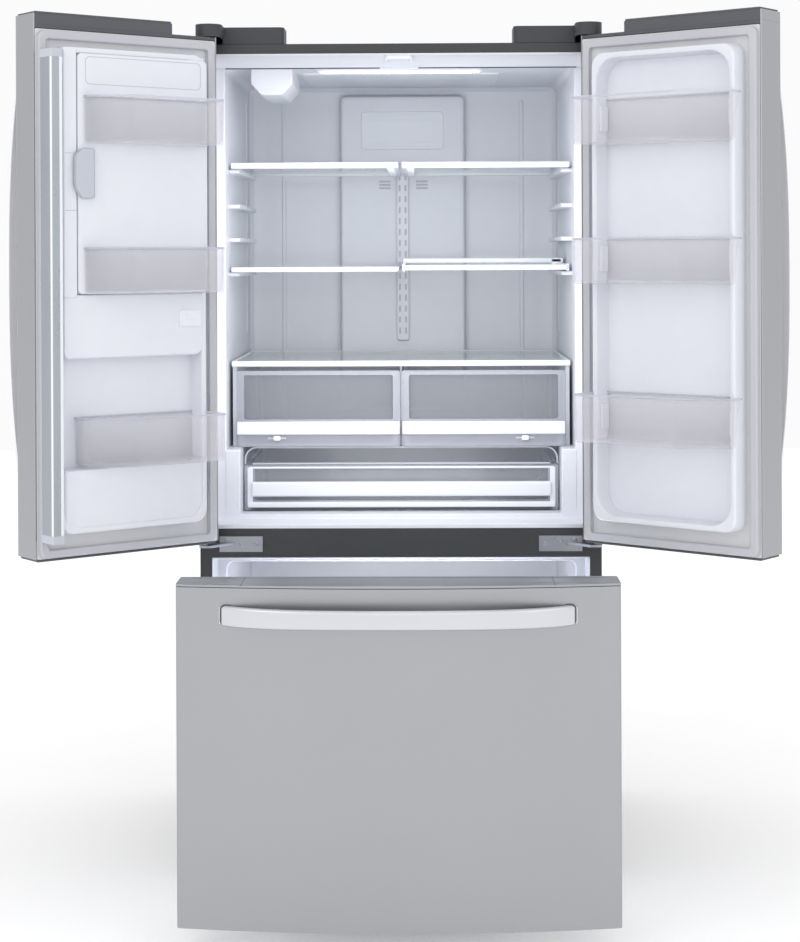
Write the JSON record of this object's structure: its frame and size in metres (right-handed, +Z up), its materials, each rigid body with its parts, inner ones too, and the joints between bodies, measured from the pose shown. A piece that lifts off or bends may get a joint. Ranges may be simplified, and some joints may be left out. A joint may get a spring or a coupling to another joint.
{
  "type": "french door refrigerator",
  "caption": "Free-standing refrigerator with two wide-open upper doors over a pulled-out freezer drawer, with shelves, drawers and door baskets.",
  "frame": {"origin": "on the floor, at the centre of the footprint of the open refrigerator", "axes": "+Z up, +X to the right as seen from the front, +Y towards the back"},
  "size_m": [1.5558, 1.224, 1.772],
  "materials": {
    "stainless": "satin",
    "case_paint": "satin",
    "zinc_steel": "satin",
    "foam": "matte",
    "liner": "satin",
    "white_plastic": "satin",
    "shelf_glass": "gloss",
    "clear_plastic": "gloss",
    "dark_plastic": "satin",
    "black_plastic": "satin",
    "grey_plastic": "satin",
    "gasket_rubber": "matte"
  },
  "bodies": {
    "cabinet": {"outer_case": "case_paint", "base_pan": "zinc_steel", "insulation_foam": "foam", "fresh_food_liner": "liner", "freezer_liner": "liner", "toe_grille": "dark_plastic", "machine_cover": "case_paint", "compressor_and_condenser": "black_plastic", "duct_panel": "white_plastic", "ceiling_lamp": "white_plastic", "crisper_frame": "white_plastic", "shelf_lower_left": "shelf_glass", "shelf_lower_right_frame": "shelf_glass", "upper_hinge_left": "zinc_steel", "upper_hinge_right": "zinc_steel", "hinge_cover_left": "dark_plastic", "hinge_cover_right": "dark_plastic", "lower_hinge_left": "zinc_steel", "lower_hinge_right": "zinc_steel", "levelling_foot_left": "black_plastic", "levelling_foot_right": "black_plastic", "shelf_upper_left": "shelf_glass", "shelf_upper_right": "shelf_glass"},
    "left_door": {"left_door_shell": "stainless", "left_door_gasket": "gasket_rubber", "left_door_top_cap": "dark_plastic", "left_door_handle": "stainless", "left_door_liner": "liner", "left_basket_bottom": "clear_plastic", "dispenser_housing": "black_plastic", "ice_bin": "clear_plastic", "ice_maker": "white_plastic"},
    "right_door": {"right_door_shell": "stainless", "right_door_gasket": "gasket_rubber", "right_door_top_cap": "dark_plastic", "right_door_handle": "stainless", "right_door_liner": "liner", "right_basket_top": "clear_plastic", "right_basket_middle": "clear_plastic", "right_basket_bottom": "clear_plastic"},
    "freezer_drawer": {"freezer_front_shell": "stainless", "freezer_front_liner": "white_plastic", "freezer_gasket": "gasket_rubber", "freezer_handle": "stainless", "freezer_carriage": "zinc_steel", "freezer_bin": "clear_plastic"},
    "freezer_tray": {"freezer_tray": "clear_plastic"},
    "sliding_shelf": {"shelf_lower_right_front": "shelf_glass"},
    "filter_cover": {"filter_cover": "white_plastic"},
    "crisper_left": {"crisper_left": "clear_plastic"},
    "crisper_right": {"crisper_right": "clear_plastic"},
    "humidity_slider_left": {"humidity_slider_left": "grey_plastic"},
    "humidity_slider_right": {"humidity_slider_right": "grey_plastic"},
    "pantry_drawer": {"pantry_drawer": "clear_plastic"},
    "ice_door": {"ice_door": "liner", "left_basket_top": "clear_plastic", "left_basket_middle": "clear_plastic"},
    "ice_door_latch": {"ice_door_latch": "grey_plastic"},
    "mullion_bar": {"mullion_bar": "white_plastic"},
    "dispenser_lever": {"dispenser_lever": "dark_plastic"}
  },
  "joints": [
    {"name": "left_door_hinge", "type": "hinge", "parent": "cabinet", "child": "left_door", "pos_m": [-0.402, -0.1507, 0.7095], "axis": [0, 0, -1], "range_deg": [-141.4, 2.6]},
    {"name": "right_door_hinge", "type": "hinge", "parent": "cabinet", "child": "right_door", "pos_m": [0.402, -0.1507, 0.7095], "axis": [0, 0, 1], "range_deg": [-141.4, 2.6]},
    {"name": "freezer_drawer_slide", "type": "slide", "parent": "cabinet", "child": "freezer_drawer", "axis": [0, -1, 0], "range_m": [-0.337, 0.1]},
    {"name": "freezer_tray_slide", "type": "slide", "parent": "freezer_drawer", "child": "freezer_tray", "axis": [0, -1, 0], "range_m": [0, 0.17]},
    {"name": "sliding_shelf_slide", "type": "slide", "parent": "cabinet", "child": "sliding_shelf", "axis": [0, 1, 0], "range_m": [0, 0.18]},
    {"name": "filter_cover_hinge", "type": "hinge", "parent": "cabinet", "child": "filter_cover", "pos_m": [-0.2745, 0.292, 1.697], "axis": [1, 0, 0], "range_deg": [0, 30]},
    {"name": "crisper_left_slide", "type": "slide", "parent": "cabinet", "child": "crisper_left", "axis": [0, -1, 0], "range_m": [0, 0.28]},
    {"name": "crisper_right_slide", "type": "slide", "parent": "cabinet", "child": "crisper_right", "axis": [0, -1, 0], "range_m": [0, 0.28]},
    {"name": "humidity_left_slide", "type": "slide", "parent": "crisper_left", "child": "humidity_slider_left", "axis": [1, 0, 0], "range_m": [-0.012, 0.012]},
    {"name": "humidity_right_slide", "type": "slide", "parent": "crisper_right", "child": "humidity_slider_right", "axis": [1, 0, 0], "range_m": [-0.012, 0.012]},
    {"name": "pantry_drawer_slide", "type": "slide", "parent": "cabinet", "child": "pantry_drawer", "axis": [0, -1, 0], "range_m": [0, 0.28]},
    {"name": "ice_door_hinge", "type": "hinge", "parent": "left_door", "child": "ice_door", "pos_m": [-0.39399, -0.22965, 1.2253], "axis": [0, 0, 1], "range_deg": [0, 95]},
    {"name": "ice_door_latch_pivot", "type": "hinge", "parent": "ice_door", "child": "ice_door_latch", "pos_m": [-0.61424, -0.42339, 1.41], "axis": [0, 0, -1], "range_deg": [0, 18], "stiffness_Nm_per_rad": 0.3},
    {"name": "mullion_fold", "type": "hinge", "parent": "left_door", "child": "mullion_bar", "pos_m": [-0.67219, -0.43255, 0.752], "axis": [0, 0, 1], "range_deg": [-90, 0]},
    {"name": "dispenser_lever_hinge", "type": "hinge", "parent": "left_door", "child": "dispenser_lever", "pos_m": [-0.55988, -0.26228, 1.186], "axis": [-0.7815, -0.6239, 0], "range_deg": [0, 6], "stiffness_Nm_per_rad": 0.4}
  ]
}
